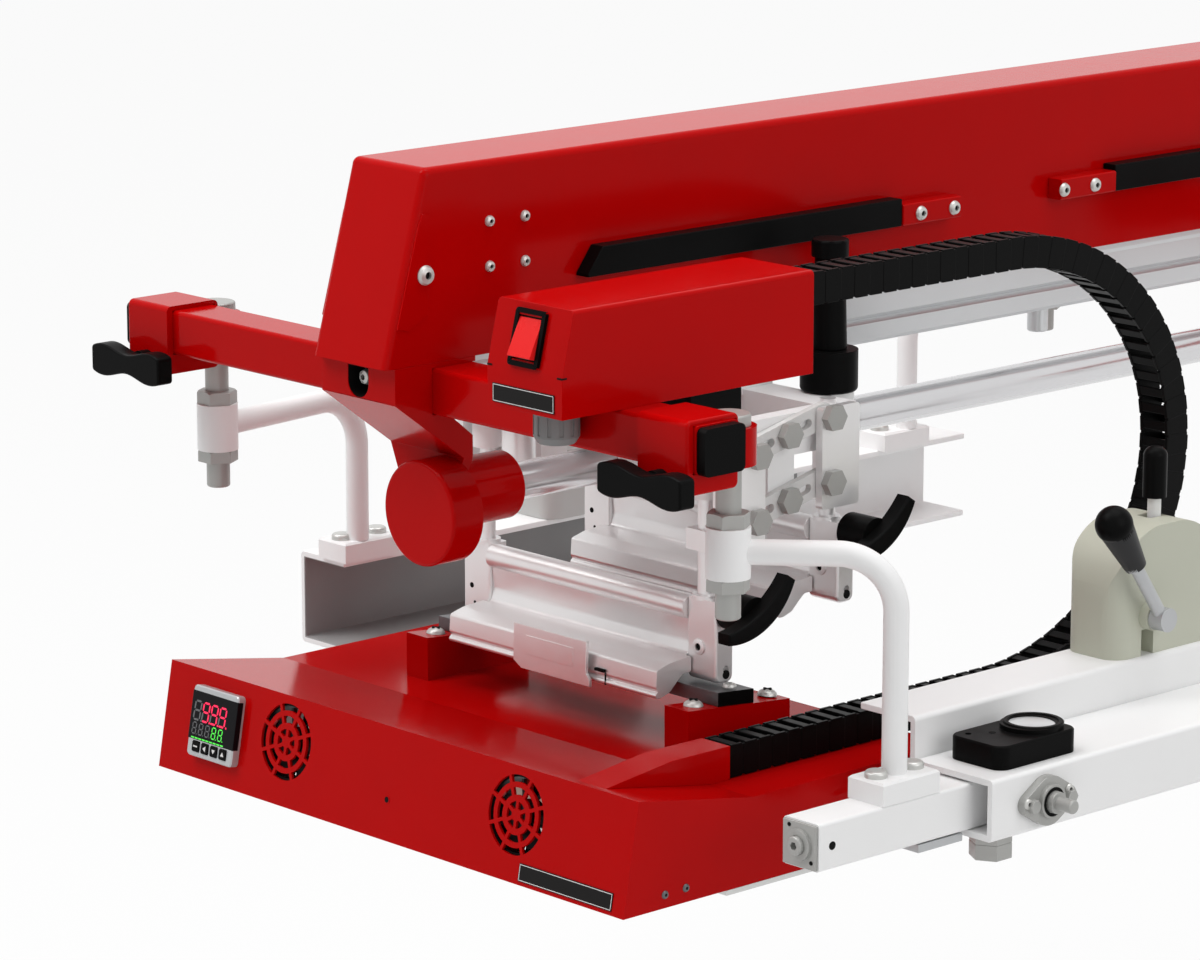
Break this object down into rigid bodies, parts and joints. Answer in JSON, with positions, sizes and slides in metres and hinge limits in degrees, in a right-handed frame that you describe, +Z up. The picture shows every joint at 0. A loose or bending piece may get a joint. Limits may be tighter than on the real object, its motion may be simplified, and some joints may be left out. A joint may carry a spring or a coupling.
{
  "type": "in-line heat press",
  "caption": "Beam-mounted heat press: heated platen hung in a lifting holder under a sliding carriage, with clamped cross bars, bent arms, side channels and a looping cable chain.",
  "frame": {"origin": "centre of the mounting face of the flange at the rear end of the beam", "axes": "+Y out of the flange, away from the press, so the press lies along -Y; +X to the right as seen from the front of the press; +Z up"},
  "size_m": [0.7, 1.1138, 0.464],
  "materials": {
    "red_paint": "gloss",
    "white_paint": "gloss",
    "grey_paint": "satin",
    "black_plastic": "satin",
    "grey_plastic": "satin",
    "red_plastic": "gloss",
    "beige_cover": "satin",
    "bright_aluminium": "satin",
    "steel": "satin",
    "chrome": "polished",
    "insulation": "matte"
  },
  "bodies": {
    "frame": {"beam_housing": "red_paint", "side_strips": "black_plastic", "strip_blocks": "red_paint", "linear_rail": "bright_aluminium", "guide_shaft": "chrome", "front_hanger": "red_paint", "rear_hanger": "red_paint", "end_disc": "red_paint", "cross_bars": "red_paint", "clamp_sleeves": "red_paint", "bar_end_plugs": "black_plastic", "threaded_rods": "steel", "lock_nuts": "steel", "front_left_arm": "white_paint", "front_right_arm": "white_paint", "rear_arms": "white_paint", "left_channel": "white_paint", "right_channel": "white_paint", "outer_tube": "white_paint", "inner_tube": "white_paint", "spindle_bearings": "steel", "position_indicator": "black_plastic", "right_lever_housing": "beige_cover", "left_housing": "grey_paint", "control_box": "red_paint", "cable_gland": "grey_plastic", "box_mount": "black_plastic"},
    "carriage": {"carriage_saddle": "white_paint", "air_cylinders": "bright_aluminium", "regulator_column": "black_plastic", "cable_chain": "black_plastic"},
    "front_holder": {"front_lifters": "grey_paint", "front_holder_profile": "bright_aluminium", "heater_box": "red_paint", "heating_platen": "bright_aluminium", "insulation_board": "insulation", "clamp_bar": "steel", "fan_frames": "black_plastic", "temperature_controller": "grey_plastic", "chain_ramp": "red_paint"},
    "rear_holder": {"rear_lifters": "grey_paint", "rear_holder_profile": "bright_aluminium"},
    "upper_link_pair": {"upper_links": "white_paint"},
    "lower_link_pair": {"lower_links": "white_paint"},
    "front_handle": {"front_clamp_handle": "black_plastic"},
    "rear_handle": {"rear_clamp_handle": "black_plastic"},
    "left_knob": {"left_wing_knob": "black_plastic"},
    "right_knob": {"right_wing_knob": "black_plastic"},
    "end_screw": {"end_spindle": "steel"},
    "side_screw": {"side_spindle": "steel"},
    "housing_lever": {"front_lever": "black_plastic"},
    "roof_lever": {"upright_lever": "black_plastic"},
    "power_rocker": {"rocker_switch": "red_plastic"},
    "pressure_knob": {"regulator_knob": "black_plastic"},
    "left_fan": {"left_fan_rotor": "black_plastic"},
    "right_fan": {"right_fan_rotor": "black_plastic"},
    "key_1": {"controller_key_1": "black_plastic"},
    "key_2": {"controller_key_2": "black_plastic"},
    "key_3": {"controller_key_3": "black_plastic"},
    "key_4": {"controller_key_4": "black_plastic"}
  },
  "joints": [
    {"name": "carriage_stroke", "type": "slide", "parent": "frame", "child": "carriage", "axis": [0, 1, 0], "range_m": [0, 0.296]},
    {"name": "front_holder_lift", "type": "slide", "parent": "carriage", "child": "front_holder", "axis": [0, 0, 1], "range_m": [0, 0.016], "deforming": ["cable_chain"]},
    {"name": "rear_holder_lift", "type": "slide", "parent": "carriage", "child": "rear_holder", "axis": [0, 0, 1], "range_m": [-0.016, 0]},
    {"name": "upper_link_rock", "type": "hinge", "parent": "carriage", "child": "upper_link_pair", "pos_m": [0, -0.832, -0.128], "axis": [1, 0, 0], "range_deg": [-26.68, 0]},
    {"name": "lower_link_rock", "type": "hinge", "parent": "carriage", "child": "lower_link_pair", "pos_m": [0, -0.832, -0.1715], "axis": [1, 0, 0], "range_deg": [-26.68, 0]},
    {"name": "front_handle_turn", "type": "hinge", "parent": "front_holder", "child": "front_handle", "pos_m": [0.124, -0.888, -0.235], "axis": [1, 0, 0], "range_deg": [-40, 120]},
    {"name": "rear_handle_turn", "type": "hinge", "parent": "rear_holder", "child": "rear_handle", "pos_m": [0.124, -0.777, -0.2], "axis": [1, 0, 0], "range_deg": [-40, 120]},
    {"name": "left_knob_turn", "type": "hinge", "parent": "frame", "child": "left_knob", "pos_m": [-0.2515, -1.08, -0.102], "axis": [0, -1, 0], "range_deg": [-90, 180]},
    {"name": "right_knob_turn", "type": "hinge", "parent": "frame", "child": "right_knob", "pos_m": [0.2515, -1.08, -0.102], "axis": [0, -1, 0], "range_deg": [-90, 180]},
    {"name": "end_screw_turn", "type": "hinge", "parent": "frame", "child": "end_screw", "pos_m": [0.325, -1.02, -0.321], "axis": [0, -1, 0], "continuous": true},
    {"name": "side_screw_turn", "type": "hinge", "parent": "frame", "child": "side_screw", "pos_m": [0.359, -0.841, -0.321], "axis": [1, 0, 0], "continuous": true},
    {"name": "housing_lever_swing", "type": "hinge", "parent": "frame", "child": "housing_lever", "pos_m": [0.288, -0.664, -0.247], "axis": [1, 0, 0], "range_deg": [-70, 0]},
    {"name": "roof_lever_tilt", "type": "hinge", "parent": "frame", "child": "roof_lever", "pos_m": [0.2645, -0.633, -0.21], "axis": [1, 0, 0], "range_deg": [-12, 12]},
    {"name": "power_rocker_tip", "type": "hinge", "parent": "frame", "child": "power_rocker", "pos_m": [0.175, -1.10454, -0.0208], "axis": [1, 0, 0], "range_deg": [0, 12]},
    {"name": "pressure_knob_turn", "type": "hinge", "parent": "carriage", "child": "pressure_knob", "pos_m": [0.08, -0.752, -0.116], "axis": [0, 0, 1], "continuous": true},
    {"name": "left_fan_spin", "type": "hinge", "parent": "front_holder", "child": "left_fan", "pos_m": [-0.1032, -1.07247, -0.336], "axis": [0, -0.9843, 0.1765], "continuous": true},
    {"name": "right_fan_spin", "type": "hinge", "parent": "front_holder", "child": "right_fan", "pos_m": [0.125, -1.07247, -0.336], "axis": [0, -0.9843, 0.1765], "continuous": true},
    {"name": "key_1_press", "type": "slide", "parent": "front_holder", "child": "key_1", "axis": [0, 0.9843, -0.1765], "range_m": [0, 0.0005], "stiffness_N_per_m": 300, "springref_m": -0.0005},
    {"name": "key_2_press", "type": "slide", "parent": "front_holder", "child": "key_2", "axis": [0, 0.9843, -0.1765], "range_m": [0, 0.0005], "stiffness_N_per_m": 300, "springref_m": -0.0005},
    {"name": "key_3_press", "type": "slide", "parent": "front_holder", "child": "key_3", "axis": [0, 0.9843, -0.1765], "range_m": [0, 0.0005], "stiffness_N_per_m": 300, "springref_m": -0.0005},
    {"name": "key_4_press", "type": "slide", "parent": "front_holder", "child": "key_4", "axis": [0, 0.9843, -0.1765], "range_m": [0, 0.0005], "stiffness_N_per_m": 300, "springref_m": -0.0005}
  ],
  "couplings": [
    {"joint": "rear_holder_lift", "follows": "front_holder_lift", "ratio": -1},
    {"joint": "upper_link_rock", "follows": "front_holder_lift", "rad_per_m": -28.886},
    {"joint": "lower_link_rock", "follows": "front_holder_lift", "rad_per_m": -28.886}
  ]
}
